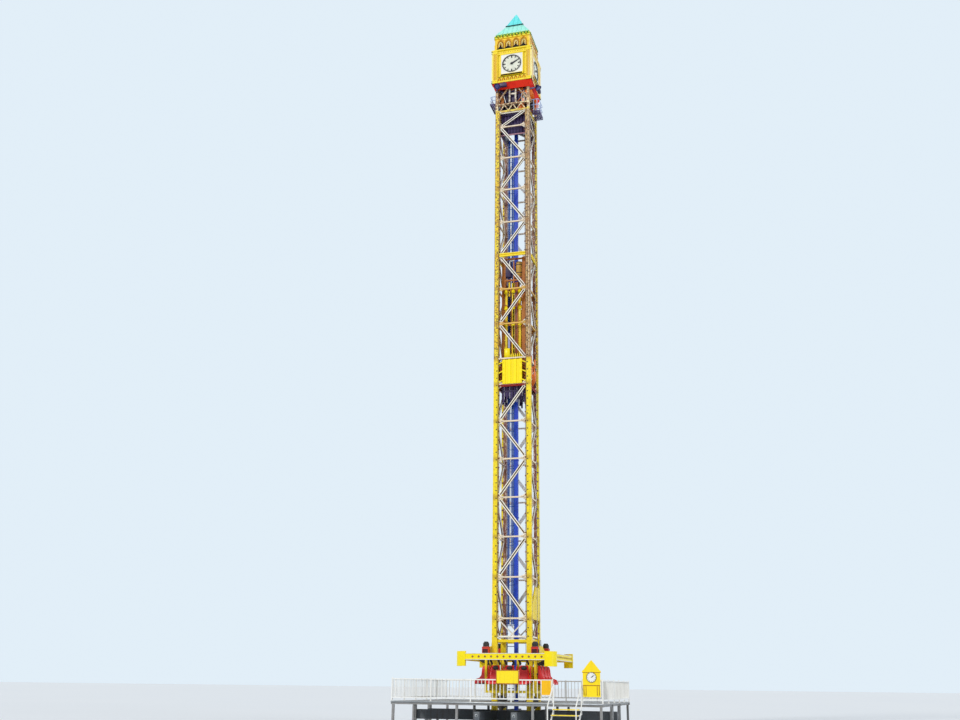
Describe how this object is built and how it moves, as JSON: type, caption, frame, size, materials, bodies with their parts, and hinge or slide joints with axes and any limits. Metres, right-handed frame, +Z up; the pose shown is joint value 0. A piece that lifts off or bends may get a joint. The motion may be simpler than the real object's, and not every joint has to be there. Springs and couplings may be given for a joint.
{
  "type": "drop tower ride",
  "caption": "Fairground drop tower: square lattice mast with a sliding seat ring round it and a clock house with a pyramid roof on top.",
  "frame": {"origin": "on the ground under the middle of the mast, at the middle of the foot plate's underside", "axes": "+Z up, the front with the entry steps looks along -Y, +X to the right"},
  "size_m": [8.4, 8.39, 34.5],
  "materials": {
    "mast_yellow": "glossy yellow paint",
    "bar_cream": "satin cream paint",
    "panel_yellow": "glossy bright yellow paint",
    "frame_ochre": "satin ochre paint",
    "pole_blue": "satin blue paint",
    "dark_red": "satin red paint",
    "dark_steel": "satin dark paint",
    "rope_steel": "stranded steel",
    "drive_orange": "orange machine paint",
    "galvanised": "galvanised",
    "lamp_blue": "dark blue lamp housing",
    "house_gold": "gold paint on sheet metal",
    "dial_white": "white dial face",
    "roof_turquoise": "pale turquoise paint",
    "base_steel": "grey paint",
    "deck_plate": "chequered plate",
    "white_paint": "white paint",
    "sign_yellow": "yellow sign paint",
    "board_orange": "orange sign paint",
    "seat_red": "red moulded shell",
    "housing_red": "satin red paint",
    "restraint_black": "black foam skin",
    "roller_grey": "grey wheel tread"
  },
  "bodies": {
    "tower": {"base_frame": "base_steel", "jacks": "base_steel", "deck_front": "deck_plate", "deck_rear": "deck_plate", "deck_left": "deck_plate", "deck_right": "deck_plate", "steps": "white_paint", "fence_front_left": "white_paint", "fence_front_right": "white_paint", "fence_left": "white_paint", "fence_right": "white_paint", "fence_rear": "white_paint", "clock_sign": "sign_yellow", "rule_board": "board_orange", "notice_board": "sign_yellow", "mast_foot": "mast_yellow", "lower_front": "mast_yellow", "lower_rear": "mast_yellow", "lower_left": "bar_cream", "lower_right": "bar_cream", "upper_front": "mast_yellow", "upper_rear": "mast_yellow", "upper_left": "bar_cream", "upper_right": "bar_cream", "erection_plate": "mast_yellow", "joint_panels": "panel_yellow", "joint_platform": "dark_red", "heavy_beam": "mast_yellow", "inner_frame": "frame_ochre", "blue_pole": "pole_blue", "ladder": "pole_blue", "hoist_ropes": "rope_steel", "foot_sheaves": "dark_steel", "head_sheaves": "dark_steel", "top_platform": "dark_steel", "head_frame": "frame_ochre", "head_drive": "drive_orange", "service_balconies": "galvanised", "floodlights": "lamp_blue", "soffit": "dark_red", "house_walls": "house_gold", "pilasters": "house_gold", "dials": "dial_white", "clock_hands": "dark_steel", "belfry": "house_gold", "cornice": "roof_turquoise", "roof": "roof_turquoise"},
    "car": {"car_front": "mast_yellow", "car_rear": "mast_yellow", "car_left": "mast_yellow", "car_right": "mast_yellow", "canopy": "panel_yellow", "corner_housings": "housing_red", "buffers": "restraint_black", "seats_front": "seat_red", "seats_rear": "seat_red", "seats_left": "seat_red", "seats_right": "seat_red", "restraints": "restraint_black", "guide_rollers": "roller_grey"}
  },
  "joints": [
    {"name": "car_slide", "type": "slide", "parent": "tower", "child": "car", "axis": [0, 0, 1], "range_m": [0, 24]}
  ]
}
